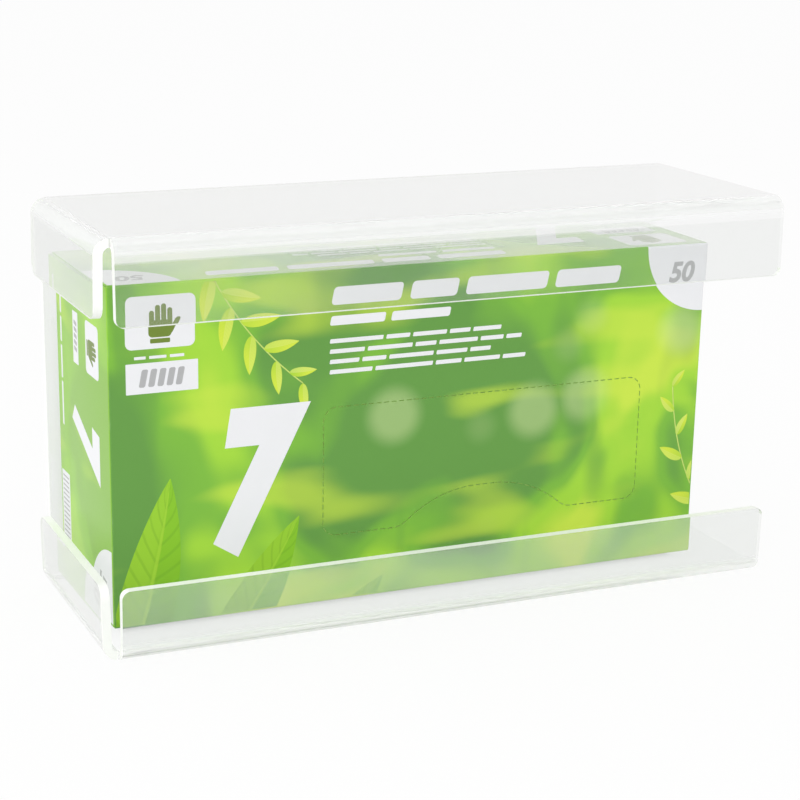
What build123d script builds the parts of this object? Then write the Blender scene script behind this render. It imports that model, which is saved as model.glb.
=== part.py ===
from build123d import *
import os
from math import atan2, degrees, isclose, radians, tan

# Wall holder for one carton of disposable gloves. The holder is a single sheet of clear acrylic:
# a wall plate with a top and a bottom panel bent forward, each with a front lip and a left flap.
# The right end stays open, and the carton slides in through it. The carton is sealed.
#
# Frame, in millimetres: the origin is the middle of the wall face, +X points to the open end,
# +Y into the wall and +Z up.

# Acrylic sheet
sheet = 3.0  # thickness
bend_inner = 2.5  # inside radius of each line bend
spring_back = 1.2  # degrees that each lip and flap stays open past square
width = 254.0  # outer face of the left bends to the open end
height = 142.5  # over the top and bottom panels
depth = 90.5  # wall face to the front bends
top_lip = 28.5  # from the top face down to the lip's free edge
bottom_lip = 25.5  # from the bottom face up to the lip's free edge
flap_reach = 26.5  # from a panel's outer face to the flap's free edge
flap_overrun = 1.6  # front edge of a flap past the start of the front bend
plate_ear = 1.5  # left edge of the wall plate past the start of the left bends
lip_corner = 3.0  # radius on the free corners of the lips
flap_corner = 5.0  # radius on the free corners of the flaps

# Screw holes in the wall plate
screw_hole_radius = 2.5
screw_span_x = 180.0
screw_span_z = 70.0

# Glove carton
carton_length = 228.5
carton_depth = 62.5
carton_height = 120.0
carton_end_gap = 6.1  # to the left flaps, where they leave their bends
carton_clearance = 0.1  # from the carton's lower back fold to the bend behind it
board = 0.5  # thickness of the carton board
fold_radius = 0.8  # outside radius of a folded edge
closure_inset = 0.6  # cut edges of an end closure inside the carton's outline
closure_lift = 1.0  # free edge of an end closure stands off by this much

# Perforated tear panel in the carton's front
tear_length = 126.5
tear_height = 47.0
tear_bottom = 24.2  # above the carton's base
tear_offset = 25.8  # right of the carton's middle
tear_corner = 5.0
thumb_foot = 67.0  # width of the thumb arch at its foot
thumb_crest = 35.0  # width between its shoulders
thumb_rise = 12.4
thumb_foot_radius = 8.0
thumb_crest_radius = 42.0
slit_length = 1.9
slit_pitch = 2.9
slit_width = 0.35

bend_outer = bend_inner + sheet
x_left, x_right = -width / 2, width / 2
z_bottom, z_top = -height / 2, height / 2
x_fold = x_left + bend_outer  # the left bends start here
splay = tan(radians(spring_back))


def bent_strip(plane, corners):
    """Face of the bent sheet, seen edge on. The corners run along its outer side."""
    outer = FilletPolyline(*corners, radius=bend_outer)
    return plane * make_face(offset(outer, amount=sheet, side=Side.LEFT, closed=True))


def front_to_wall():
    """Wall plate, both panels and both front lips, bent in one strip."""
    corners = [
        (-depth - top_lip * splay, z_top - top_lip),
        (-depth, z_top),
        (0, z_top),
        (0, z_bottom),
        (-depth, z_bottom),
        (-depth - bottom_lip * splay, z_bottom + bottom_lip),
    ]
    strip = extrude(bent_strip(Plane.YZ, corners[::-1]), amount=x_right - x_fold)
    strip = Pos(X=x_fold) * strip
    free_corners = strip.edges().filter_by(lambda e: isclose(e.length, sheet, abs_tol=1e-4))
    return fillet(free_corners, lip_corner)


def top_flap():
    """Left flap of the top panel, with the bend that carries it."""
    weld = sheet  # the strip runs this far into the panel
    corners = [
        (x_fold + weld, z_top),
        (x_left, z_top),
        (x_left - flap_reach * splay, z_top - flap_reach),
    ]
    front_edge = depth - bend_outer + flap_overrun
    flap = extrude(bent_strip(Plane.XZ, corners), amount=front_edge - bend_outer)
    flap = Pos(Y=-bend_outer) * flap
    thickness_edges = flap.edges().filter_by(lambda e: isclose(e.length, sheet, abs_tol=1e-4))
    flap = fillet(thickness_edges.sort_by(Axis.Z)[:2], flap_corner)
    # Past the start of the front bend the flap's shoulder follows that bend.
    envelope = Plane.YZ * Pos(X=-depth / 2) * RectangleRounded(depth, height, bend_outer)
    return flap & extrude(envelope, amount=width, both=True)


def wall_plate_ear():
    """Strip of the wall plate left of the bends, between the two flaps' bends."""
    ear_length = plate_ear + sheet
    ear_height = height - 2 * bend_outer
    middle = Pos(X=x_fold - plate_ear + ear_length / 2, Y=-sheet / 2)
    return middle * Box(ear_length, sheet, ear_height)


def screw_holes():
    """Four plain holes, reached through the open front before a carton goes in."""
    circles = Sketch() + GridLocations(screw_span_x, screw_span_z, 2, 2) * Circle(screw_hole_radius)
    return extrude(Plane.XZ * circles, amount=sheet)


def holder():
    """The whole holder, one bent sheet."""
    flap = top_flap()
    sheets = front_to_wall() + wall_plate_ear() + flap + mirror(flap, about=Plane.XY)
    return sheets - screw_holes()


carton_left = x_left + sheet + carton_end_gap
carton_right = carton_left + carton_length
carton_back = -bend_outer + fold_radius - carton_clearance
carton_front = carton_back - carton_depth
carton_base = z_bottom + sheet
carton_x = (carton_left + carton_right) / 2
carton_y = (carton_front + carton_back) / 2
carton_z = carton_base + carton_height / 2


def carton_sleeve():
    """Front, back, top and base of the carton, folded round one long tube."""
    tube = Box(carton_length - 2 * board, carton_depth, carton_height)
    return Pos(carton_x, carton_y, carton_z) * fillet(tube.edges().filter_by(Axis.X), fold_radius)


def left_closure():
    """Outer end flap, folded from the front panel and glued over the inner ones."""
    seat = carton_left + 2 * fold_radius
    free_edge = carton_back - closure_inset
    corners = [
        (seat, carton_front),
        (carton_left, carton_front),
        (carton_left - closure_lift, free_edge),
        (seat, free_edge),
    ]
    height_of_flap = carton_height - 2 * closure_inset
    flap = extrude(make_face(Polyline(*corners, close=True)), amount=height_of_flap)
    fold = flap.edges().filter_by(Axis.Z).sort_by_distance((carton_left, carton_front, 0))[0]
    return Pos(Z=carton_base + closure_inset) * fillet(fold, fold_radius)


def tear_line():
    """Outline of the tear panel on the carton's front, with its thumb arch."""
    middle = carton_x + tear_offset
    left, right = middle - tear_length / 2, middle + tear_length / 2
    low = carton_base + tear_bottom
    high = low + tear_height
    crest = low + thumb_rise
    corners = [
        (left, high, tear_corner),
        (right, high, tear_corner),
        (right, low, tear_corner),
        (middle + thumb_foot / 2, low, thumb_foot_radius),
        (middle + thumb_crest / 2, crest, thumb_crest_radius),
        (middle - thumb_crest / 2, crest, thumb_crest_radius),
        (middle - thumb_foot / 2, low, thumb_foot_radius),
        (left, low, tear_corner),
    ]
    points = [(x, z) for x, z, _ in corners]
    return FilletPolyline(*points, radius=[radius for _, _, radius in corners], close=True)


def perforations():
    """Short slits along the tear line, as deep as the board."""
    line = tear_line()
    count = round(line.length / slit_pitch)
    slits = []
    for i in range(count):
        along = i / count
        here = line.position_at(along)
        heading = line.tangent_at(along)
        turn = -degrees(atan2(heading.Y, heading.X))
        place = Pos(here.X, carton_front, here.Y) * Rot(Y=turn)
        slits.append(place * Box(slit_length, 2 * board, slit_width))
    return slits


def glove_carton():
    """The sealed carton, with its tear panel still closed."""
    closure = left_closure()
    right_closure = mirror(closure, about=Plane.YZ.offset(carton_x))
    return carton_sleeve() + closure + right_closure - perforations()


os.makedirs("parts", exist_ok=True)
for name, solid in {"holder": holder(), "glove_carton": glove_carton()}.items():
    export_step(solid, f"parts/{name}.step")
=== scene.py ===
from functools import reduce
from math import cos, pi, radians, sin

import bmesh
import bpy
from mathutils import Matrix, Vector


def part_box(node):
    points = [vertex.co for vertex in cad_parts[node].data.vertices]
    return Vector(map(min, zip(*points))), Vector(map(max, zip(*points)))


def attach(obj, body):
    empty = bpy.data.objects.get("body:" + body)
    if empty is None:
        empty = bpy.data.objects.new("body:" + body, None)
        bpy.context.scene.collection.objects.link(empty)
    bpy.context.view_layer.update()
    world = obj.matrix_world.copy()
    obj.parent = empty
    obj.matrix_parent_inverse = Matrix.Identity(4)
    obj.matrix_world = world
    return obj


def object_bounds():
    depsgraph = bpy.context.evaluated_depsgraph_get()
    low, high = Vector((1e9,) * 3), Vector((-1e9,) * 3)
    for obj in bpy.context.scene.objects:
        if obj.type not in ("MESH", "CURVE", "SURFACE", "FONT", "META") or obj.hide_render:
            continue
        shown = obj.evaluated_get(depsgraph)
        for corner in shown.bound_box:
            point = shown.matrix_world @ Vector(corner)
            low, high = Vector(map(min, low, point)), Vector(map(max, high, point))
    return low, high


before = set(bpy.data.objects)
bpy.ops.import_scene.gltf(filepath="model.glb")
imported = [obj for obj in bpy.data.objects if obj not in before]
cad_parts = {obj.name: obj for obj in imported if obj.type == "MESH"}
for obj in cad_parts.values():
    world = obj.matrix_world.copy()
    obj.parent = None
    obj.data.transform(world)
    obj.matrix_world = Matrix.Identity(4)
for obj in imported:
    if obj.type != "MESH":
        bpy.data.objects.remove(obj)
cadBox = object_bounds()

# Looks for a clear acrylic wall holder and the printed glove carton in it. Blender works in metres,
# and everything that is printed on the carton is laid out in millimetres on one of its faces.

mm = 0.001
plainWhite = (1, 1, 1, 1)


def addNode(tree, kind, **settings):
    node = tree.nodes.new(kind)
    for name, value in settings.items():
        setattr(node, name, value)
    return node


def feed(tree, socket, value):
    if isinstance(value, bpy.types.NodeSocket):
        tree.links.new(value, socket)
    else:
        socket.default_value = value


def calc(tree, operation, *values):
    node = addNode(tree, "ShaderNodeMath", operation=operation)
    for socket, value in zip(node.inputs, values):
        feed(tree, socket, value)
    return node.outputs[0]


def fade(tree, value, low, high):  # 0 below low, 1 above high, smooth between
    node = addNode(tree, "ShaderNodeMapRange", interpolation_type="SMOOTHSTEP")
    for socket, setting in zip(node.inputs, (value, low, high, 0.0, 1.0)):
        feed(tree, socket, setting)
    return node.outputs[0]


def mixColours(tree, share, first, second):
    node = addNode(tree, "ShaderNodeMix", data_type="RGBA")
    feed(tree, node.inputs[0], share)
    feed(tree, node.inputs[6], first)
    feed(tree, node.inputs[7], second)
    return node.outputs[2]


def mixValues(tree, share, first, second):
    node = addNode(tree, "ShaderNodeMix", data_type="FLOAT")
    feed(tree, node.inputs[0], share)
    feed(tree, node.inputs[2], first)
    feed(tree, node.inputs[3], second)
    return node.outputs[0]


def product(tree, *values):
    return reduce(lambda first, second: calc(tree, "MULTIPLY", first, second), values)


def largest(tree, *values):
    return reduce(lambda first, second: calc(tree, "MAXIMUM", first, second), values)


def rest(tree, share):  # what a share leaves of 1
    return calc(tree, "SUBTRACT", 1.0, share)


def axes(tree, vector):  # its X, Y and Z
    split = addNode(tree, "ShaderNodeSeparateXYZ")
    feed(tree, split.inputs[0], vector)
    return [split.outputs[axis] for axis in "XYZ"]


def faceNormal(tree, kind="True Normal"):
    return addNode(tree, "ShaderNodeNewGeometry").outputs[kind]


def ramp(tree, value, stops):
    node = addNode(tree, "ShaderNodeValToRGB")
    node.color_ramp.interpolation = "EASE"
    elements = node.color_ramp.elements
    while len(elements) < len(stops):
        elements.new(0.5)
    for element, (place, colour) in zip(elements, stops):
        element.position = place
        element.color = colour
    feed(tree, node.inputs[0], value)
    return node.outputs[0]


def noise(tree, place, scale, detail=2.0, distortion=0.0):
    node = addNode(tree, "ShaderNodeTexNoise")
    feed(tree, node.inputs["Vector"], place)
    feed(tree, node.inputs["Scale"], scale)
    feed(tree, node.inputs["Detail"], detail)
    feed(tree, node.inputs["Distortion"], distortion)
    return node.outputs[0]


def turned(tree, place, shift=(0, 0, 0), turn=(0, 0, 0), stretch=(1, 1, 1)):
    node = addNode(tree, "ShaderNodeMapping")
    feed(tree, node.inputs["Vector"], place)
    feed(tree, node.inputs["Location"], shift)
    feed(tree, node.inputs["Rotation"], turn)
    feed(tree, node.inputs["Scale"], stretch)
    return node.outputs[0]


def objectPlace(tree):
    return addNode(tree, "ShaderNodeTexCoord").outputs["Object"]


def newMaterial(name):
    material = bpy.data.materials.new(name)
    material.use_nodes = True
    material.node_tree.nodes.clear()
    return material, material.node_tree


def surface(tree, **inputs):
    shader = addNode(tree, "ShaderNodeBsdfPrincipled")
    for name, value in inputs.items():
        feed(tree, shader.inputs[name.replace("_", " ")], value)
    return shader.outputs[0]


def glossy(tree, colour, roughness):
    shader = addNode(tree, "ShaderNodeBsdfGlossy")
    feed(tree, shader.inputs["Color"], colour)
    feed(tree, shader.inputs["Roughness"], roughness)
    return shader.outputs[0]


def mixShaders(tree, share, first, second):
    node = addNode(tree, "ShaderNodeMixShader")
    for socket, value in zip(node.inputs, (share, first, second)):
        feed(tree, socket, value)
    return node.outputs[0]


def show(tree, shader, kind="ShaderNodeOutputMaterial"):  # as the tree's surface
    tree.links.new(shader, addNode(tree, kind).inputs["Surface"])


def bump(tree, height, strength, distance):
    node = addNode(tree, "ShaderNodeBump")
    feed(tree, node.inputs["Height"], height)
    feed(tree, node.inputs["Strength"], strength)
    feed(tree, node.inputs["Distance"], distance)
    return node.outputs[0]


def addObject(name, data):
    added = bpy.data.objects.new(name, data)
    bpy.context.scene.collection.objects.link(added)
    return added


def finalMesh(source):  # of an object that isn't needed after this
    mesh = bpy.data.meshes.new_from_object(source.evaluated_get(bpy.context.evaluated_depsgraph_get()))
    bpy.data.objects.remove(source)
    return mesh


cameraView = {
    "place": (-0.28722, -0.67405, 0.18673),
    "heading": 22.65,  # degrees from +Y towards +X
    "down": 16.473,
    "roll": 0.632,
    "imageSide": 800,
    "focalPixels": 1961.65,
    "centrePixel": (342.25, 435.76),
    "sensor": 36.0,
    "nearest": 0.01,
}


def addCamera(view):
    heading, down, roll = (radians(view[key]) for key in ("heading", "down", "roll"))
    ahead = Vector((sin(heading) * cos(down), cos(heading) * cos(down), -sin(down)))
    level = ahead.cross(Vector((0, 0, 1))).normalized()
    above = level.cross(ahead)
    right = cos(roll) * level + sin(roll) * above
    up = cos(roll) * above - sin(roll) * level
    data = bpy.data.cameras.new("camera")
    side = view["imageSide"]
    data.sensor_width = view["sensor"]
    data.lens = view["focalPixels"] / side * view["sensor"]
    data.shift_x = (side / 2 - view["centrePixel"][0]) / side
    data.shift_y = (view["centrePixel"][1] - side / 2) / side
    data.clip_start = view["nearest"]
    camera = addObject("camera", data)
    turn = Matrix((right, up, -ahead)).transposed().to_4x4()
    camera.matrix_world = Matrix.Translation(view["place"]) @ turn
    bpy.context.scene.camera = camera


addCamera(cameraView)
print("camera placed")


studio = {
    "fill": 0.63,  # world light on matt surfaces
    "sideFill": 1.2,  # how much more of it comes from the left
    "keyPower": 9.0,
    "keySize": 1.1,
    "keyPlace": (-0.55, -1.1, 1.25),
    "floorSide": 30.0,
    "floorGap": 0.0002,
    "floorColour": (0.94, 0.94, 0.94, 1),
    "floorGlow": 0.91,  # what the floor shows of plain white, whatever shades it
    "cartonPaintedShadow": 0.65,  # painted shadow: how much less of it is shown just inside the carton's outline
    "shadeInset": (3.0, 12.0, 19.0),  # in from the outline to where that starts, is full and ends
    "bounces": 64,  # light turns many times inside the bent sheet
}


def seenDirectly(tree):  # 1 for camera, mirror and see-through rays
    path = addNode(tree, "ShaderNodeLightPath").outputs
    return largest(tree, path["Is Camera Ray"], path["Is Glossy Ray"], path["Is Transmission Ray"])


def lightWorld(look):
    world = bpy.data.worlds.new("studio")
    world.use_nodes = True
    tree = world.node_tree
    tree.nodes.clear()
    toward = axes(tree, addNode(tree, "ShaderNodeTexCoord").outputs["Generated"])
    leftward = largest(tree, product(tree, toward[0], -1.0), 0.0)
    matt = calc(tree, "MULTIPLY_ADD", leftward, look["fill"] * look["sideFill"], look["fill"])
    background = addNode(tree, "ShaderNodeBackground")
    feed(tree, background.inputs["Strength"], mixValues(tree, seenDirectly(tree), matt, 1.0))
    feed(tree, background.inputs["Color"], plainWhite)
    show(tree, background.outputs[0], "ShaderNodeOutputWorld")
    bpy.context.scene.world = world


def addKeyLight(look):
    data = bpy.data.lights.new("keyLight", "AREA")
    data.energy = look["keyPower"]
    data.size = look["keySize"]
    place = Vector(look["keyPlace"])
    turn = (-place).to_track_quat("-Z", "Y").to_matrix().to_4x4()
    addObject("keyLight", data).matrix_world = Matrix.Translation(place) @ turn


def paintedCartonShadow(tree, look):  # painted shadow: 1 on a band of floor just inside the carton's foot, where the floor's white is dimmed
    low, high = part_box("glove_carton")
    start, full, gone = (inset * mm for inset in look["shadeInset"])
    x, y, _ = axes(tree, objectPlace(tree))
    ways = [calc(tree, "SUBTRACT", far, near)
            for near, far in ((low.x, x), (x, high.x), (low.y, y), (y, high.y))]
    sides = [calc(tree, "MINIMUM", *pair) for pair in (ways[:2], ways[2:])]
    nearest = calc(tree, "MINIMUM", *sides)
    return product(tree, fade(tree, nearest, start, full), rest(tree, fade(tree, nearest, full, gone)))


def addFloor(look):
    half = look["floorSide"] / 2
    height = cadBox[0].z - look["floorGap"]
    mesh = bpy.data.meshes.new("floor")
    corners = [(x * half, y * half, height) for x, y in ((-1, -1), (1, -1), (1, 1), (-1, 1))]
    mesh.from_pydata(corners, [], [(0, 1, 2, 3)])
    floor = addObject("floor", mesh)
    material, tree = newMaterial("paleFloor")
    matt = addNode(tree, "ShaderNodeBsdfDiffuse")
    feed(tree, matt.inputs["Color"], look["floorColour"])
    white = addNode(tree, "ShaderNodeEmission")
    feed(tree, white.inputs["Color"], plainWhite)
    # painted shadow: the floor's white glow is dimmed along the carton's foot
    lit = rest(tree, product(tree, paintedCartonShadow(tree, look), look["cartonPaintedShadow"]))
    glow = product(tree, seenDirectly(tree), product(tree, lit, look["floorGlow"]))
    show(tree, mixShaders(tree, glow, matt.outputs[0], white.outputs[0]))
    mesh.materials.append(material)


def setLightPaths(bounces):
    paths = bpy.context.scene.cycles
    for kind in ("max_bounces", "glossy_bounces", "transmission_bounces", "transparent_max_bounces"):
        setattr(paths, kind, bounces)


bpy.context.scene.view_settings.view_transform = "Standard"
setLightPaths(studio["bounces"])
lightWorld(studio)
addKeyLight(studio)
addFloor(studio)
print("light and floor placed")


acrylic = {
    "tint": (0.885, 0.895, 0.885, 1),
    "panelTint": (0.965, 0.97, 0.965, 1),  # the bottom panel hangs over a bright floor
    "ior": 1.49,
    "plainIor": 1.001,
    "haze": (0.0, 0.10),  # share that scatters, at the top and at the bottom
    "smudges": 0.025,  # what handling adds to it
    "smudge": (35.0, 4.0),  # scale and detail of that noise
    "smudgeRange": (0.35, 0.7),
    "flapHaze": 0.3,  # share of all this on the left flaps, which nobody touches
    "bendHaze": 0.5,  # where the sheet was heated and bent
    "hazeHeights": (45.0, -45.0),
    "grazing": (0.62, 0.90),  # turn away from the eye at which the gloss starts and is full
    "grazingGloss": 0.85,
    # painted highlight: a brighter gloss band along the top lip's bend, standing in for the reflection of a
    # strip light
    "paintedHighlightGloss": 0.62,
    "stripEdge": 3.0,  # how steeply the strip ends
    "paintedHighlightTint": (0.97, 0.97, 0.97, 1),
    "stripDrop": (8.4, 5.6, 3.4),  # from the top face down to where the strip ends, peaks and starts
    "bottomGloss": 0.05,  # on the bottom panel, which every carton rubs clean
    "glossTint": (0.895, 0.895, 0.89, 1),
    "glossRoughness": 0.08,
    "shadowTint": (0.965, 0.97, 0.965, 1),  # of the light that reaches what is behind the sheet
    "lowShadowTint": (0.925, 0.935, 0.925, 1),
    "edgeClear": 0.04,  # share that a cut edge still lets through
    "edgeRoughness": 0.45,
    "edgeTint": (0.99, 1.0, 0.97, 1),
    "trapped": 6.5,  # turns of a ray inside the sheet, past which the sheet just looks milky
    "milk": (0.97, 0.97, 0.965, 1),
    "sheet": 3.0,
    "bend": 5.5,  # outside radius of a line bend
    "across": 0.6,  # share of the normal on an axis, past which a face looks along it
    "level": 0.8,  # the same, for the bottom panel
    "hair": 0.05,  # in from a face that still counts as on it, in millimetres
    "thinHair": 0.02,
    "beyond": 1.0,  # out from a face, so that nothing on it is missed
}

holderLow, holderHigh = (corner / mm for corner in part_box("holder"))


def inside(tree, value, low, high):  # 1 between two heights in millimetres, else 0
    over = calc(tree, "GREATER_THAN", value, low * mm)
    return calc(tree, "MULTIPLY", over, calc(tree, "LESS_THAN", value, high * mm))


def below(tree, value, height):
    return calc(tree, "LESS_THAN", value, height * mm)


def above(tree, value, height):
    return calc(tree, "GREATER_THAN", value, height * mm)


def cutEdges(tree, place, look):  # 1 on the sawn and polished edges of the sheet
    low, high, bend, beyond = holderLow, holderHigh, look["bend"], look["beyond"]
    wallSide = high.y - look["sheet"] - look["hair"]
    x, y, z = axes(tree, place)
    size = addNode(tree, "ShaderNodeVectorMath", operation="ABSOLUTE")
    feed(tree, size.inputs[0], faceNormal(tree))
    facing = axes(tree, size.outputs[0])
    alongX, alongY, alongZ = (calc(tree, "GREATER_THAN", axis, look["across"]) for axis in facing)
    upright = inside(tree, z, low.z + bend, high.z - bend)
    ends = product(tree, alongZ, upright)
    openEnd = inside(tree, x, high.x - look["hair"], high.x + beyond)
    front = inside(tree, y, low.y - beyond, low.y + bend)
    lips = product(tree, front, largest(tree, alongX, ends))
    left = inside(tree, x, low.x - beyond, low.x + bend)
    offWall = inside(tree, y, low.y - beyond, wallSide)
    flaps = product(tree, left, offWall, largest(tree, alongY, ends))
    onWall = inside(tree, y, wallSide, high.y + beyond)
    plate = product(tree, left, onWall, product(tree, alongX, upright))
    return largest(tree, openEnd, lips, largest(tree, flaps, plate))


def bottomPanel(tree, place, look):  # 1 on the panel that the carton rests on
    level = calc(tree, "GREATER_THAN", calc(tree, "ABSOLUTE", axes(tree, faceNormal(tree))[2]), look["level"])
    return product(tree, level, below(tree, axes(tree, place)[2], holderLow.z + look["bend"]))


def openEndWithin(tree, place, within, look):  # 1 on the open end's cut, met from inside the sheet
    end = above(tree, axes(tree, place)[0], holderHigh.x - look["thinHair"])
    return product(tree, end, within)


def plainFaces(tree, place, wiped, within, end, look):  # 1 where the sheet neither mirrors nor bends light
    underside = below(tree, axes(tree, place)[2], holderLow.z + look["thinHair"])
    fromAbove = product(tree, wiped, rest(tree, within))
    return largest(tree, underside, end, fromAbove)


def bends(tree, place, look):  # 1 on the line bends that carry the lips and flaps
    x, y, z = axes(tree, place)
    front = below(tree, y, holderLow.y + look["bend"])
    left = below(tree, x, holderLow.x + look["bend"])
    top = above(tree, z, holderHigh.z - look["bend"])
    bottom = below(tree, z, holderLow.z + look["bend"])
    return product(tree, largest(tree, front, left), largest(tree, top, bottom))


def paintedStripHighlight(tree, place, look):  # painted highlight: 1 on a band along the bend of the top lip, standing in for a strip light's reflection
    _, y, z = axes(tree, place)
    onBend = inside(tree, y, holderLow.y - look["beyond"], holderLow.y + look["bend"])
    fadeOut, middle, fadeIn = ((holderHigh.z - drop) * mm for drop in look["stripDrop"])
    band = product(tree, fade(tree, z, fadeOut, middle), rest(tree, fade(tree, z, middle, fadeIn)))
    return product(tree, onBend, calc(tree, "MINIMUM", product(tree, band, look["stripEdge"]), 1.0))


def sheetHaze(tree, place, lowness, wiped, heated, look):  # share of the light that scatters
    handled = fade(tree, noise(tree, place, *look["smudge"]), *look["smudgeRange"])
    haze = calc(tree, "MULTIPLY_ADD", handled, look["smudges"], mixValues(tree, lowness, *look["haze"]))
    onFlaps = below(tree, axes(tree, place)[0], holderLow.x + look["bend"])
    haze = product(tree, haze, rest(tree, wiped), mixValues(tree, onFlaps, 1.0, look["flapHaze"]))
    return largest(tree, haze, product(tree, heated, look["bendHaze"]))


def sheetGloss(tree, shader, place, wiped, outerFaces, look):  # what the studio lights leave on the sheet, with a painted highlight band along the top bend
    paintedBand = paintedStripHighlight(tree, place, look)
    # painted highlight: the band's gloss is whiter and stronger than the rest
    tint = mixColours(tree, paintedBand, look["glossTint"], look["paintedHighlightTint"])
    gloss = glossy(tree, tint, look["glossRoughness"])
    graze = fade(tree, addNode(tree, "ShaderNodeLayerWeight").outputs["Facing"], *look["grazing"])
    amount = product(tree, graze, mixValues(tree, wiped, look["grazingGloss"], look["bottomGloss"]))
    amount = largest(tree, amount, product(tree, paintedBand, look["paintedHighlightGloss"]))
    return mixShaders(tree, product(tree, amount, outerFaces), shader, gloss)


def acrylicMaterial(look):
    material, tree = newMaterial("clearAcrylic")
    place = objectPlace(tree)
    height = axes(tree, place)[2]
    within = faceNormal(tree, "Backfacing")
    outer = rest(tree, within)
    end = openEndWithin(tree, place, within, look)
    notEnd = rest(tree, end)
    edges = product(tree, cutEdges(tree, place, look), notEnd)
    wiped = bottomPanel(tree, place, look)
    heated = bends(tree, place, look)
    top, bottom = (level * mm for level in look["hazeHeights"])
    lowness = fade(tree, product(tree, height, -1.0), -top, -bottom)
    haze = product(tree, sheetHaze(tree, place, lowness, wiped, heated, look), notEnd)
    clear = mixValues(tree, edges, rest(tree, haze), product(tree, outer, look["edgeClear"]))
    pale = largest(tree, wiped, product(tree, heated, below(tree, height, 0.0)), end)
    tint = mixColours(tree, pale, look["tint"], look["panelTint"])
    plain = plainFaces(tree, place, wiped, within, end, look)
    sheet = surface(tree, Base_Color=mixColours(tree, edges, tint, look["edgeTint"]),
                    Roughness=product(tree, edges, look["edgeRoughness"]),
                    IOR=mixValues(tree, plain, look["ior"], look["plainIor"]), Transmission_Weight=clear)
    sheet = sheetGloss(tree, sheet, place, wiped, product(tree, outer, rest(tree, edges)), look)
    path = addNode(tree, "ShaderNodeLightPath").outputs
    milk = addNode(tree, "ShaderNodeBsdfDiffuse")
    feed(tree, milk.inputs["Color"], look["milk"])
    trapped = calc(tree, "GREATER_THAN", path["Ray Depth"], look["trapped"])
    sheet = mixShaders(tree, trapped, sheet, milk.outputs[0])
    through = addNode(tree, "ShaderNodeBsdfTransparent")
    shadow = mixColours(tree, lowness, look["shadowTint"], look["lowShadowTint"])
    feed(tree, through.inputs["Color"], shadow)
    passing = largest(tree, path["Is Shadow Ray"], path["Is Diffuse Ray"])
    show(tree, mixShaders(tree, passing, sheet, through.outputs[0]))
    return material


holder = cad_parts["holder"]
holder.material_slots[0].material = acrylicMaterial(acrylic)
print("acrylic done")


closureLift = 1.0  # the ends' glued flaps stand this far off at the back
closureInset = 0.6
foldRadius = 0.8
cartonLow, cartonHigh = (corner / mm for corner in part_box("glove_carton"))
cartonLeft = cartonLow.x + closureLift
cartonRight = cartonHigh.x - closureLift

board = {
    "dark": (0.13, 0.33, 0.060, 1),
    "mid": (0.21, 0.50, 0.050, 1),
    "bright": (0.38, 0.70, 0.048, 1),
    "sunny": (0.60, 0.80, 0.070, 1),
    "pale": (0.66, 0.80, 0.38, 1),
    "core": (0.80, 0.80, 0.74, 1),
    "slit": (0.46, 0.68, 0.20, 1),
    "endPaintedLight": 0.5,  # painted light: how much lighter the ends are made, as if more light fell on them
    "wear": 0.15,
    "varnish": (0.71, 0.86),  # turn away from the eye at which the varnish starts to shine and is full
    "varnishGloss": 0.78,
    "varnishRoughness": 0.16,
    "varnishTint": (0.94, 0.94, 0.93, 1),
    "fibre": (1800.0, 3.0),  # scale and detail of the board's grain
    "grain": (0.012, 0.00005),  # strength and height of its bump
    "specular": 0.3,
    "roughness": (0.14, 0.34),  # what the grain adds, and to what
    "inkRoughness": (0.12, 0.36),
    "inkPatches": (60.0, 2.0),
    "inkShade": (0.05, 0.96),  # what the patches add to the ink, and to what
    "foldBand": (0.8, 0.2),  # in from a face to where its wear starts and is full
    "nicks": (120.0, 5.0),
    "nickRange": (0.48, 0.78),
    "endOn": 0.7,  # how squarely a face looks along the carton to be an end
    "airSlant": 0.27,  # turn away from the eye past which the air under the base mirrors
    "slitDepth": (0.05, 0.6),  # in from the front face, from where to where the board's core shows
    "slitMargin": 2.0,  # in from the front's edges
}

greenery = {
    "shift": (0.31, 0.17, 0.05),
    "field": (15.0, 2.0, 0.5),  # scale, detail and distortion of the noise
    "stops": ((0.36, "dark"), (0.46, "mid"), (0.55, "bright"), (0.66, "sunny")),
    "strokes": {"tilt": -38, "stretch": (14, 30, 52), "range": (0.54, 0.68), "share": 0.6, "colour": "sunny"},
    "shades": {"tilt": 24, "stretch": (46, 20, 11), "range": (0.55, 0.68), "share": 0.55, "colour": "dark"},
    "discScale": 30.0,
    "discEdge": (0.16, 0.40),
    "discNoise": (9.0, 0.0),
    "discRange": (0.46, 0.62),
    "discShare": 0.38,
}


def foldWear(tree, place, look):  # 1 along the carton's folded edges
    low = Vector((cartonLeft, cartonLow.y, cartonLow.z)) * mm
    high = Vector((cartonRight, cartonHigh.y, cartonHigh.z)) * mm
    half = (high - low) / 2
    moved = addNode(tree, "ShaderNodeVectorMath", operation="SUBTRACT")
    feed(tree, moved.inputs[0], place)
    feed(tree, moved.inputs[1], (low + high) / 2)
    folded = addNode(tree, "ShaderNodeVectorMath", operation="ABSOLUTE")
    feed(tree, folded.inputs[0], moved.outputs[0])
    start, full = (inset * mm for inset in look["foldBand"])
    near = [fade(tree, axis, reach - start, reach - full)
            for axis, reach in zip(axes(tree, folded.outputs[0]), half)]
    return largest(tree, *(product(tree, near[i], near[(i + 1) % 3]) for i in range(3)))


def varnished(tree, shader, look):  # board shines where it is seen at a low angle
    graze = fade(tree, addNode(tree, "ShaderNodeLayerWeight").outputs["Facing"], *look["varnish"])
    gloss = glossy(tree, look["varnishTint"], look["varnishRoughness"])
    return mixShaders(tree, product(tree, graze, look["varnishGloss"]), shader, gloss)


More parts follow.
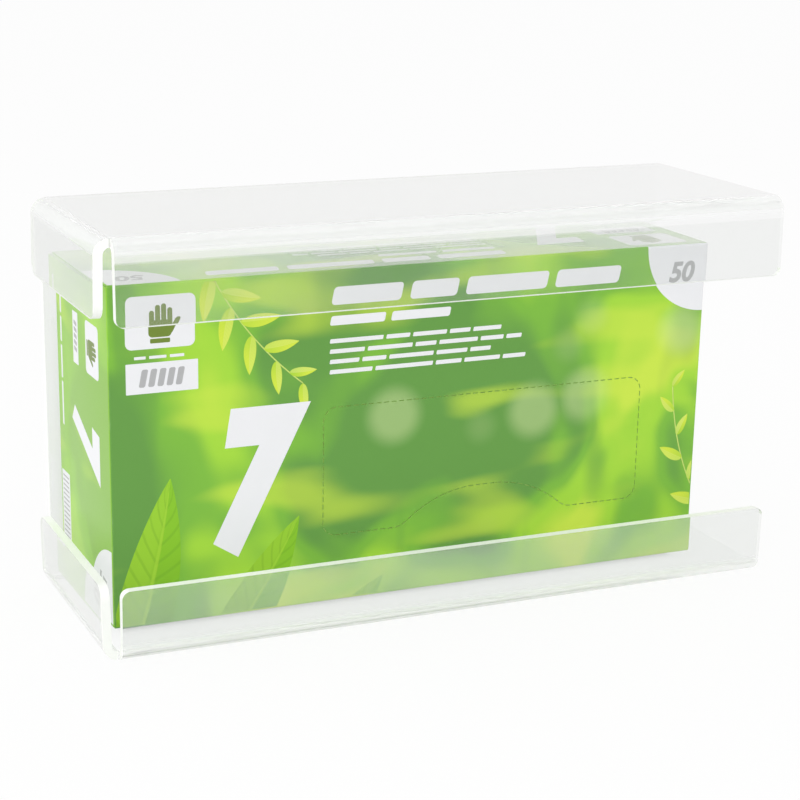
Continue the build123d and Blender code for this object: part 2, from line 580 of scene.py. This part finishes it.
# A film of air under the base keeps slanting light inside the sheet that the carton rests on.
def turnBack(tree, place, shader, look):
    facing = addNode(tree, "ShaderNodeLayerWeight").outputs["Facing"]
    slant = calc(tree, "GREATER_THAN", facing, look["airSlant"])
    base = below(tree, axes(tree, place)[2], cartonLow.z + acrylic["thinHair"])
    return mixShaders(tree, product(tree, slant, base), shader, glossy(tree, plainWhite, 0.0))


def softGreens(tree, place, look, pattern):  # out-of-focus greenery, the same in all directions
    soft = noise(tree, turned(tree, place, shift=pattern["shift"]), *pattern["field"])
    colour = ramp(tree, soft, [(stop, look[name]) for stop, name in pattern["stops"]])
    for layer in (pattern["strokes"], pattern["shades"]):
        slope = turned(tree, place, turn=(0, radians(layer["tilt"]), 0), stretch=layer["stretch"])
        patches = fade(tree, noise(tree, slope, 1.0, 1.0), *layer["range"])
        colour = mixColours(tree, product(tree, patches, layer["share"]), colour, look[layer["colour"]])
    cells = addNode(tree, "ShaderNodeTexVoronoi", feature="F1")
    feed(tree, cells.inputs["Vector"], place)
    feed(tree, cells.inputs["Scale"], pattern["discScale"])
    disc = rest(tree, fade(tree, cells.outputs["Distance"], *pattern["discEdge"]))
    where = fade(tree, noise(tree, place, *pattern["discNoise"]), *pattern["discRange"])
    return mixColours(tree, product(tree, disc, where, pattern["discShare"]), colour, look["pale"])


def tornCore(tree, place, look):  # 1 inside the slits of the tear line
    x, y, z = axes(tree, place)
    start, end = (cartonLow.y + depth for depth in look["slitDepth"])
    edge = look["slitMargin"]
    deep = product(tree, above(tree, y, start), below(tree, y, end))
    for axis, low, high in ((x, cartonLeft, cartonRight), (z, cartonLow.z, cartonHigh.z)):
        deep = product(tree, deep, above(tree, axis, low + edge), below(tree, axis, high - edge))
    return deep


def discOnFold(tree, place, cornerX, side):  # 1 where a large face's corner disc runs over the fold
    x, _, z = axes(tree, place)
    offset = addNode(tree, "ShaderNodeCombineXYZ")
    feed(tree, offset.inputs["X"], calc(tree, "SUBTRACT", x, cornerX * mm))
    feed(tree, offset.inputs["Z"], calc(tree, "SUBTRACT", z, cartonHigh.z * mm))
    distance = addNode(tree, "ShaderNodeVectorMath", operation="LENGTH")
    feed(tree, distance.inputs[0], offset.outputs[0])
    near = below(tree, distance.outputs["Value"], layout["cornerRadius"])
    toFace = product(tree, axes(tree, faceNormal(tree, "Normal"))[1], side)
    return product(tree, near, calc(tree, "GREATER_THAN", toFace, layout["discTurn"]))


def boardMaterial(look):
    material, tree = newMaterial("printedBoard")
    place = objectPlace(tree)
    fibre = noise(tree, place, *look["fibre"])
    nicks = fade(tree, noise(tree, place, *look["nicks"]), *look["nickRange"])
    worn = product(tree, foldWear(tree, place, look), nicks, look["wear"])
    colour = softGreens(tree, place, look, greenery)
    sideways = calc(tree, "ABSOLUTE", axes(tree, faceNormal(tree, "Normal"))[0])
    paintedLightEnds = calc(tree, "GREATER_THAN", sideways, look["endOn"])
    # painted light: the ends are mixed toward the bright green, as if lit more strongly than the front
    colour = mixColours(tree, product(tree, paintedLightEnds, look["endPaintedLight"]), colour, look["bright"])
    for corner, side in ((cartonRight, -1.0), (cartonLeft, 1.0)):
        colour = mixColours(tree, discOnFold(tree, place, corner, side), colour, ink["white"])
    colour = mixColours(tree, worn, colour, look["core"])
    colour = mixColours(tree, tornCore(tree, place, look), colour, look["slit"])
    shader = surface(tree, Base_Color=colour, Specular_IOR_Level=look["specular"],
                     Roughness=calc(tree, "MULTIPLY_ADD", fibre, *look["roughness"]),
                     Normal=bump(tree, fibre, *look["grain"]))
    show(tree, turnBack(tree, place, varnished(tree, shader, look), look))
    return material


def faceFrame(corner, along, up, width, height):
    along, up = Vector(along).normalized(), Vector(up).normalized()
    return {"corner": Vector(corner), "along": along, "up": up, "out": along.cross(up),
            "width": width, "height": height}


def cartonFaces():
    left, right = cartonLeft, cartonRight
    front, back = cartonLow.y, cartonHigh.y
    base, top = cartonLow.z, cartonHigh.z
    length, depth, height = right - left, back - front, top - base
    flapDepth = depth - closureInset
    flapHeight = height - 2 * closureInset
    return {
        "front": faceFrame((left, front, base), (1, 0, 0), (0, 0, 1), length, height),
        "back": faceFrame((right, back, base), (-1, 0, 0), (0, 0, 1), length, height),
        "top": faceFrame((right, back, top), (-1, 0, 0), (0, -1, 0), length, depth),
        "leftEnd": faceFrame((cartonLow.x, back - closureInset, top - closureInset), (0, 0, -1),
                             (closureLift, -flapDepth, 0), flapHeight, flapDepth),
        "rightEnd": faceFrame((right, front, top - closureInset), (0, 0, -1),
                              (closureLift, flapDepth, 0), flapHeight, flapDepth),
    }


def onFace(face):  # from millimetres on a face to metres in the row frame
    turn = Matrix((face["along"], face["up"], face["out"])).transposed().to_4x4()
    return Matrix.Scale(mm, 4) @ Matrix.Translation(face["corner"]) @ turn


faces = cartonFaces()


ink = {
    "sunk": 0.01,  # underside of every layer, below the board's face
    "step": 0.02,  # height of one layer over the next
    "white": (0.87, 0.87, 0.90, 1),
    "grey": (0.46, 0.46, 0.47, 1),
    "olive": (0.17, 0.25, 0.035, 1),
}


def roundedBar(x, y, width, height, radius, lean=0.0, steps=5):
    outline = []
    for turn, (cx, cy) in enumerate(((1, 1), (-1, 1), (-1, -1), (1, -1))):
        middleX = x + width / 2 + cx * (width / 2 - radius)
        middleY = y + height / 2 + cy * (height / 2 - radius)
        for i in range(steps + 1):
            angle = (turn + i / steps) * pi / 2
            outline.append((middleX + radius * cos(angle), middleY + radius * sin(angle)))
    return [(px + lean * (py - y), py) for px, py in outline]


def cornerDisc(x, y, radius, margin, steps=32):  # quarter disc in an upper right corner
    arc = [pi + i / steps * pi / 2 for i in range(steps + 1)]
    rim = [(x + radius * cos(a), y + radius * sin(a)) for a in arc]
    rim = [(min(px, x - margin), min(py, y - margin)) for px, py in rim]
    return rim + [(x - margin, y - margin)]


def addShape(target, face, outline, layer):
    matrix = onFace(face)
    low, high = -ink["sunk"], layer * ink["step"]
    under = [target.verts.new(matrix @ Vector((x, y, low))) for x, y in outline]
    over = [target.verts.new(matrix @ Vector((x, y, high))) for x, y in outline]
    target.faces.new(over)
    target.faces.new(reversed(under))
    count = len(outline)
    for i in range(count):
        j = (i + 1) % count
        target.faces.new((under[i], under[j], over[j], over[i]))


def addNumber(target, face, digits, x, y, height, layer, lean=0.22, weight=0.02, narrow=1.0):
    curve = bpy.data.curves.new("number", "FONT")
    curve.body = digits
    curve.shear = lean
    curve.offset = weight
    curve.extrude = 1.0
    curve.resolution_u = 6
    mesh = finalMesh(addObject("number", curve))
    xs = [vertex.co.x for vertex in mesh.vertices]
    ys = [vertex.co.y for vertex in mesh.vertices]
    scale = height / (max(ys) - min(ys))
    matrix = onFace(face)
    for vertex in mesh.vertices:
        lift = layer * ink["step"] if vertex.co.z > 0 else -ink["sunk"]
        across, up = (vertex.co.x - min(xs)) * scale * narrow, (vertex.co.y - min(ys)) * scale
        vertex.co = matrix @ Vector((x + across, y + up, lift))
    target.from_mesh(mesh)
    bpy.data.curves.remove(curve)
    bpy.data.meshes.remove(mesh)


def addWords(target, face, x, y, height, words, gap, layer, lean=0.2):
    for length in words:
        radius = min(height * 0.22, length * 0.3)
        addShape(target, face, roundedBar(x, y, length, height, radius, lean), layer)
        x += length + gap


def inkMaterial(name, colour, look):
    material, tree = newMaterial(name)
    place = objectPlace(tree)
    fibre = noise(tree, place, *look["fibre"])
    tinted = addNode(tree, "ShaderNodeVectorMath", operation="SCALE")
    feed(tree, tinted.inputs[0], colour[:3])
    patches = noise(tree, place, *look["inkPatches"])
    feed(tree, tinted.inputs["Scale"], calc(tree, "MULTIPLY_ADD", patches, *look["inkShade"]))
    shader = surface(tree, Base_Color=tinted.outputs[0], Specular_IOR_Level=look["specular"],
                     Roughness=calc(tree, "MULTIPLY_ADD", fibre, *look["inkRoughness"]),
                     Normal=bump(tree, fibre, *look["grain"]))
    show(tree, varnished(tree, shader, look))
    return material


def finishPrint(name, layers, material):
    bmesh.ops.recalc_face_normals(layers, faces=layers.faces)
    mesh = bpy.data.meshes.new(name)
    layers.to_mesh(mesh)
    layers.free()
    mesh.materials.append(material)
    piece = addObject(name, mesh)
    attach(piece, "root")


layout = {
    "count": "50",
    "size": "7",
    "margin": 6.0,
    "cornerRadius": 25.5,
    "discTurn": 0.25,  # how far the fold has turned to the face where its disc ends
    "panel": (24.2, 18.2, 2.2),  # width, height and corner radius
    "panelDrop": 4.1,  # down from the upper edge
    "glove": (6.6, 1.8),  # in from the panel's left and lower edges
    "caption": (3.0, 3.4, 1.0, (4, 6, 5), 1.2),  # in and down from the panel, height, words and gaps
    "label": (25.2, 10.5, 0.3),
    "labelDrop": 4.7,
    "labelMarks": (4.4, 2.2, (2.2,) * 5, 1.0),
    "textLeft": 78.8,
    "headline": (12.2, 6.3, (26.0, 18.0, 32.0, 26.0), 3.4),  # down to its foot, height, words and gaps
    "subline": (19.6, 3.3, (20.5, 22.5), 2.4),
    "lines": ((20, 9, 13, 8, 11), (13, 17, 8, 15, 9, 6), (11, 9, 17, 12, 8), (16, 22, 10, 14, 9)),
    "lineDrop": 25.9,
    "linePitch": 3.65,
    "lineHeight": 1.5,
    "lineGap": 1.2,
    "countPlace": (16.2, 14.0, 7.8),  # in and down from the corner, and its height
    "ground": 2,  # layer of print
    "marks": 3,
    "sizeLayer": 4,
}

endLayout = {  # x, y, width, height and corner radius, on a face that reads downwards
    "panel": (16.0, 36.0, 18.5, 15.0, 1.8),
    "glove": (21.0, 37.6, 11.8),
    "label": (16.0, 20.6, 18.5, 6.2, 0.3),
    "labelMarks": (19.0, 22.0, 3.4, (1.5,) * 5, 0.8),
    "size": (50.0, 17.0, 33.0),
    "line": (6.0, 4.4, 1.6, (14, 9, 12, 16), 1.4),
    "codePanel": (79.0, 1.2, 27.0, 9.8, 0.3),
    "code": (80.6, 2.4, 7.4, (0.6,) * 14, 1.15),
    "cornerRadius": 27.0,
    "count": (16.5, 15.0, 8.0),
}


gloveBars = (  # x, y, width, height, corner radius, lift in layers and lean
    (1.6, 6.0, 1.9, 6.4, 0.93, 0.0, 0.0),
    (3.9, 6.4, 1.9, 8.0, 0.93, 0.05, 0.0),
    (6.2, 6.4, 1.9, 8.4, 0.93, 0.10, 0.0),
    (8.5, 6.0, 1.9, 7.2, 0.93, 0.15, 0.0),
    (1.6, 2.2, 8.8, 6.6, 1.6, 0.25, 0.0),
    (8.2, 3.0, 2.1, 6.6, 1.0, 0.3, 0.55),
    (2.2, 0.0, 7.6, 1.7, 0.4, 0.0, 0.0),
)
gloveUnits = 16.0  # of the bars' units in the height that a glove is given


def addGlove(target, face, x, y, height, layer):  # plain outline of an open glove
    unit = height / gloveUnits
    for left, foot, width, length, radius, lift, lean in gloveBars:
        corner = (x + left * unit, y + foot * unit)
        bar = roundedBar(*corner, width * unit, length * unit, radius * unit, lean)
        addShape(target, face, bar, layer + lift)


sizePlaces = {  # x, y and height of the size's number
    "front": (36.0, 20.6, 53.7),
    "back": (36.0, 20.6, 53.7),
    "top": (38.0, 10.0, 36.0),
}


def printSize(target, face, place, layer):
    addNumber(target, face, layout["size"], *place, layer, weight=0.06, narrow=0.75)


def printLargeFace(inks, face, size, look):  # front, back and top share one layout
    white, grey, olive = inks
    ground, marks = look["ground"], look["marks"]
    width, top = face["width"], face["height"]
    left = look["margin"]
    panelWidth, panelHeight, panelRadius = look["panel"]
    panelY = top - look["panelDrop"] - panelHeight
    addShape(white, face, roundedBar(left, panelY, panelWidth, panelHeight, panelRadius), ground)
    inwards, up = look["glove"]
    addGlove(olive, face, left + inwards, panelY + up, panelHeight - 2 * up, marks)
    inwards, down, height, words, gap = look["caption"]
    addWords(white, face, left + inwards, panelY - down, height, words, gap, ground, lean=0.0)
    labelWidth, labelHeight, labelRadius = look["label"]
    labelY = panelY - look["labelDrop"] - labelHeight
    addShape(white, face, roundedBar(left, labelY, labelWidth, labelHeight, labelRadius), ground)
    inwards, up, words, gap = look["labelMarks"]
    addWords(grey, face, left + inwards, labelY + up, labelHeight - 2 * up, words, gap, marks)
    for down, height, words, gap in (look["headline"], look["subline"]):
        addWords(white, face, look["textLeft"], top - down, height, words, gap, ground)
    for i, words in enumerate(look["lines"]):
        foot = top - look["lineDrop"] - i * look["linePitch"]
        addWords(white, face, look["textLeft"], foot, look["lineHeight"], words, look["lineGap"], ground)
    printSize(white, face, size, look["sizeLayer"])
    addShape(white, face, cornerDisc(width, top, look["cornerRadius"], foldRadius), ground)
    inwards, down, height = look["countPlace"]
    addNumber(grey, face, look["count"], width - inwards, top - down, height, marks, weight=0.035)


def printEndFace(inks, face, look):
    white, grey, olive = inks
    ground, marks = layout["ground"], layout["marks"]
    width, top = face["width"], face["height"]
    addShape(white, face, roundedBar(*look["panel"]), ground)
    addGlove(olive, face, *look["glove"], marks)
    addShape(white, face, roundedBar(*look["label"]), ground)
    addWords(grey, face, *look["labelMarks"], marks)
    printSize(white, face, look["size"], ground)
    addWords(white, face, *look["line"], ground)
    addShape(white, face, roundedBar(*look["codePanel"]), ground)
    addWords(grey, face, *look["code"], marks, lean=0.0)
    addShape(white, face, cornerDisc(width, top, look["cornerRadius"], foldRadius), ground)
    inwards, down, height = look["count"]
    addNumber(grey, face, layout["count"], width - inwards, top - down, height, marks)


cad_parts["glove_carton"].material_slots[0].material = boardMaterial(board)
print("printed board done")


def printCarton():
    inks = [bmesh.new() for _ in range(3)]
    for name, place in sizePlaces.items():
        printLargeFace(inks, faces[name], place, layout)
    for name in ("leftEnd", "rightEnd"):
        printEndFace(inks, faces[name], endLayout)
    for name, layers in zip(("white", "grey", "olive"), inks):
        finishPrint(name + "_print", layers, inkMaterial(name + "Ink", ink[name], board))


printCarton()
print("print done")


sprays = {
    "broad_leaves": {
        "face": "front", "stem": ((-12.0, -26.0), (24.0, -12.0), (72.0, -38.0)), "layer": 0.4,
        "count": 7, "length": 96.0, "width": 26.0, "taper": 0.62, "spread": 66.0, "bend": 0.12,
        "stemWidth": 0.4, "seed": 4, "colours": "deep",
    },
    "leaf_spray": {
        "face": "front", "stem": ((36.0, 121.0), (48.0, 98.0), (69.0, 81.0)), "layer": 2.4,
        "count": 9, "length": 17.0, "width": 5.6, "taper": 0.66, "spread": 44.0, "bend": 0.10,
        "stemWidth": 0.45, "seed": 11, "colours": "young",
    },
    "side_spray": {
        "face": "front", "stem": ((237.0, 12.0), (220.0, 34.0), (217.5, 66.0)), "layer": 2.4,
        "count": 7, "length": 14.0, "width": 5.2, "taper": 0.62, "spread": 42.0, "bend": -0.10,
        "stemWidth": 0.45, "seed": 23, "colours": "young",
    },
}

leafColours = {
    "deep": ((0.09, 0.29, 0.012, 1), (0.25, 0.56, 0.020, 1), (0.42, 0.70, 0.045, 1)),
    "young": ((0.40, 0.66, 0.045, 1), (0.66, 0.80, 0.060, 1), (0.72, 0.82, 0.26, 1)),
}

leafShape = {
    "grid": (17, 7),  # points along and across one leaf
    "swell": (0.6, 0.9),  # how its outline opens at the stem and closes at the tip
    "fullness": 2.75,
    "leastWidth": 0.015,
    "stemSteps": 40,
    "jitter": 0.16,  # radians
    "smallest": 0.82,
    "layerStep": 0.08,  # rise from leaf to leaf, in layers of print
    "weld": 0.001,
}

leafShading = {
    "fade": (0.0, 0.75),  # from the base colour to the middle one, along the leaf
    "lit": (-0.15, 0.25, 0.45),  # across it, with its share
    "ribs": (75.0, -9.0),  # how often, and how far they lean with the way out
    "ribEdge": (0.55, 1.0, 0.22),
    "midrib": (0.03, 0.10, 0.6),
    "shadeShare": 0.5,
}

leafInputs = (
    ("Start", "NodeSocketVector"), ("Middle", "NodeSocketVector"), ("End", "NodeSocketVector"),
    ("Leaf count", "NodeSocketInt"), ("Leaf length", "NodeSocketFloat"), ("Leaf width", "NodeSocketFloat"),
    ("Taper", "NodeSocketFloat"), ("Spread", "NodeSocketFloat"), ("Bend", "NodeSocketFloat"),
    ("Stem width", "NodeSocketFloat"), ("Layer step", "NodeSocketFloat"), ("Seed", "NodeSocketInt"),
    ("Material", "NodeSocketMaterial"),
)


def leafTree():  # leaves on both sides of a stem, all flat and facing up
    tree = bpy.data.node_groups.new("leafSpray", "GeometryNodeTree")
    tree.interface.new_socket(name="Geometry", in_out="INPUT", socket_type="NodeSocketGeometry")
    for name, kind in leafInputs:
        tree.interface.new_socket(name=name, in_out="INPUT", socket_type=kind)
    tree.interface.new_socket(name="Geometry", in_out="OUTPUT", socket_type="NodeSocketGeometry")
    given = addNode(tree, "NodeGroupInput").outputs

    def wire(kind, inputs, **settings):
        node = addNode(tree, kind, **settings)
        for key, value in inputs.items():
            feed(tree, node.inputs[key], value)
        return node

    def vector(x, y, z):
        return wire("ShaderNodeCombineXYZ", {"X": x, "Y": y, "Z": z}).outputs[0]

    def randomly(low, high):
        inputs = {2: low, 3: high, "Seed": given["Seed"]}
        return wire("FunctionNodeRandomValue", inputs, data_type="FLOAT").outputs[1]

    columns, rows = leafShape["grid"]
    grid = wire("GeometryNodeMeshGrid",
                {"Size X": 1.0, "Size Y": 1.0, "Vertices X": columns, "Vertices Y": rows})
    x, y, _ = axes(tree, addNode(tree, "GeometryNodeInputPosition").outputs[0])
    along = calc(tree, "ADD", x, 0.5)
    across = product(tree, y, 2.0)
    towardsStem, towardsTip = leafShape["swell"]
    swell = product(tree, calc(tree, "POWER", along, towardsStem),
                    calc(tree, "POWER", rest(tree, along), towardsTip))
    breadth = calc(tree, "MAXIMUM", product(tree, swell, leafShape["fullness"]), leafShape["leastWidth"])
    side = product(tree, across, product(tree, breadth, 0.5), given["Leaf width"])
    curl = product(tree, product(tree, along, along), product(tree, given["Bend"], given["Leaf length"]))
    shaped = vector(product(tree, along, given["Leaf length"]), calc(tree, "ADD", side, curl), 0.0)
    inputs = {"Geometry": grid.outputs["Mesh"], "Name": "leafPlace", "Value": vector(along, across, 1.0)}
    marked = wire("GeometryNodeStoreNamedAttribute", inputs, data_type="FLOAT_VECTOR", domain="POINT")
    leaf = wire("GeometryNodeSetPosition", {"Geometry": marked.outputs[0], "Position": shaped})

    inputs = {"Resolution": leafShape["stemSteps"],
              "Start": given["Start"], "Middle": given["Middle"], "End": given["End"]}
    stem = wire("GeometryNodeCurveQuadraticBezier", inputs).outputs[0]
    points = wire("GeometryNodeResampleCurve", {"Curve": stem, "Count": given["Leaf count"]})
    index = addNode(tree, "GeometryNodeInputIndex").outputs[0]
    headingX, headingY, _ = axes(tree, addNode(tree, "GeometryNodeInputTangent").outputs[0])
    direction = calc(tree, "ARCTAN2", headingY, headingX)
    parity = calc(tree, "MULTIPLY_ADD", calc(tree, "MODULO", index, 2.0), 2.0, -1.0)
    jitter = randomly(-leafShape["jitter"], leafShape["jitter"])
    opening = calc(tree, "ADD", calc(tree, "RADIANS", given["Spread"]), jitter)
    angle = calc(tree, "MULTIPLY_ADD", parity, opening, direction)
    share = calc(tree, "DIVIDE", index, calc(tree, "SUBTRACT", given["Leaf count"], 1.0))
    shrink = calc(tree, "SUBTRACT", given["Taper"], 1.0)
    size = product(tree, randomly(leafShape["smallest"], 1.0),
                   calc(tree, "MULTIPLY_ADD", share, shrink, 1.0))
    rise = vector(0.0, 0.0, product(tree, index, given["Layer step"]))
    stacked = wire("GeometryNodeSetPosition", {"Geometry": points.outputs[0], "Offset": rise})
    placed = wire("GeometryNodeInstanceOnPoints", {"Points": stacked.outputs[0], "Instance": leaf.outputs[0],
                  "Rotation": vector(0.0, 0.0, angle), "Scale": size})
    inputs = {"Geometry": placed.outputs[0], "Name": "leafShade", "Value": randomly(0.0, 1.0)}
    shaded = wire("GeometryNodeStoreNamedAttribute", inputs, data_type="FLOAT", domain="INSTANCE")

    level = wire("GeometryNodeSetCurveNormal", {"Curve": stem}, mode="Z_UP")
    halfStem = product(tree, given["Stem width"], 0.5)
    start, end = (vector(product(tree, halfStem, sign), 0.0, 0.0) for sign in (-1.0, 1.0))
    ribbon = wire("GeometryNodeCurvePrimitiveLine", {"Start": start, "End": end})
    twig = wire("GeometryNodeCurveToMesh",
                {"Curve": level.outputs[0], "Profile Curve": ribbon.outputs[0]})
    joined = addNode(tree, "GeometryNodeJoinGeometry")
    tree.links.new(twig.outputs[0], joined.inputs[0])
    tree.links.new(shaded.outputs[0], joined.inputs[0])
    real = wire("GeometryNodeRealizeInstances", {"Geometry": joined.outputs[0]})
    inked = wire("GeometryNodeSetMaterial", {"Geometry": real.outputs[0], "Material": given["Material"]})
    output = addNode(tree, "NodeGroupOutput")
    tree.links.new(inked.outputs[0], output.inputs[0])
    return tree


def leafMaterial(name, colours, look, shading):
    material, tree = newMaterial(name)
    base, middle, tip = colours
    place = addNode(tree, "ShaderNodeAttribute", attribute_name="leafPlace").outputs["Vector"]
    shade = addNode(tree, "ShaderNodeAttribute", attribute_name="leafShade").outputs["Fac"]
    along, across, _ = axes(tree, place)
    spread = calc(tree, "ABSOLUTE", across)
    colour = mixColours(tree, fade(tree, along, *shading["fade"]), base, middle)
    low, high, share = shading["lit"]
    colour = mixColours(tree, product(tree, fade(tree, across, low, high), share), colour, tip)
    often, lean = shading["ribs"]
    ribs = calc(tree, "SINE", calc(tree, "MULTIPLY_ADD", along, often, product(tree, spread, lean)))
    low, high, share = shading["ribEdge"]
    colour = mixColours(tree, product(tree, fade(tree, ribs, low, high), share), colour, base)
    low, high, share = shading["midrib"]
    midrib = rest(tree, fade(tree, spread, low, high))
    colour = mixColours(tree, product(tree, midrib, share), colour, tip)
    colour = mixColours(tree, product(tree, shade, shading["shadeShare"]), colour, middle)
    fibre = noise(tree, objectPlace(tree), *look["fibre"])
    shader = surface(tree, Base_Color=colour, Specular_IOR_Level=look["specular"],
                     Roughness=calc(tree, "MULTIPLY_ADD", fibre, *look["roughness"]))
    show(tree, varnished(tree, shader, look))
    return material


def trimToFace(flat, face, margin):  # cuts off what runs past the edges of the face
    edges = (((margin, 0, 0), (-1, 0, 0)), ((face["width"] - margin, 0, 0), (1, 0, 0)),
             ((0, margin, 0), (0, -1, 0)), ((0, face["height"] - margin, 0), (0, 1, 0)))
    for point, outwards in edges:
        geometry = flat.verts[:] + flat.edges[:] + flat.faces[:]
        bmesh.ops.bisect_plane(flat, geom=geometry, plane_co=point, plane_no=outwards, clear_outer=True)


def settleOrder(flat):  # of the faces, which otherwise changes from run to run
    flat.verts.index_update()
    inOrder = sorted(flat.faces, key=lambda side: sorted(corner.index for corner in side.verts))
    place = {side: i for i, side in enumerate(inOrder)}
    flat.faces.sort(key=place.get)


def addSpray(name, spray, tree):
    face = faces[spray["face"]]
    material = leafMaterial(name + "Ink", leafColours[spray["colours"]], board, leafShading)
    source = addObject(name + "_source", bpy.data.meshes.new(name + "_source"))
    modifier = source.modifiers.new("leafSpray", "NODES")
    modifier.node_group = tree
    start, middle, end = ((x, y, 0.0) for x, y in spray["stem"])
    step = ink["step"] * leafShape["layerStep"]
    values = (start, middle, end, spray["count"], spray["length"], spray["width"], spray["taper"],
              spray["spread"], spray["bend"], spray["stemWidth"], step, spray["seed"], material)
    items = tree.interface.items_tree
    sockets = {item.name: item.identifier for item in items if item.in_out == "INPUT"}
    for (label, _), value in zip(leafInputs, values):
        modifier[sockets[label]] = value
    mesh = finalMesh(source)
    flat = bmesh.new()
    flat.from_mesh(mesh)
    bmesh.ops.remove_doubles(flat, verts=flat.verts, dist=leafShape["weld"])
    trimToFace(flat, face, foldRadius)
    bmesh.ops.recalc_face_normals(flat, faces=flat.faces)
    for side in flat.faces:
        if side.normal.z < 0:
            side.normal_flip()
    lift = spray["layer"] * ink["step"]
    thick = bmesh.ops.extrude_face_region(flat, geom=flat.faces[:])
    raised = {part for part in thick["geom"] if isinstance(part, bmesh.types.BMVert)}
    for vertex in flat.verts:
        vertex.co.z = vertex.co.z + lift if vertex in raised else -ink["sunk"]
    flat.transform(onFace(face))
    bmesh.ops.recalc_face_normals(flat, faces=flat.faces)
    settleOrder(flat)
    flat.to_mesh(mesh)
    flat.free()
    mesh.name = name
    piece = addObject(name, mesh)
    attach(piece, "root")


leafGroup = leafTree()
for name, spray in sprays.items():
    addSpray(name, spray, leafGroup)
print("leaves done")
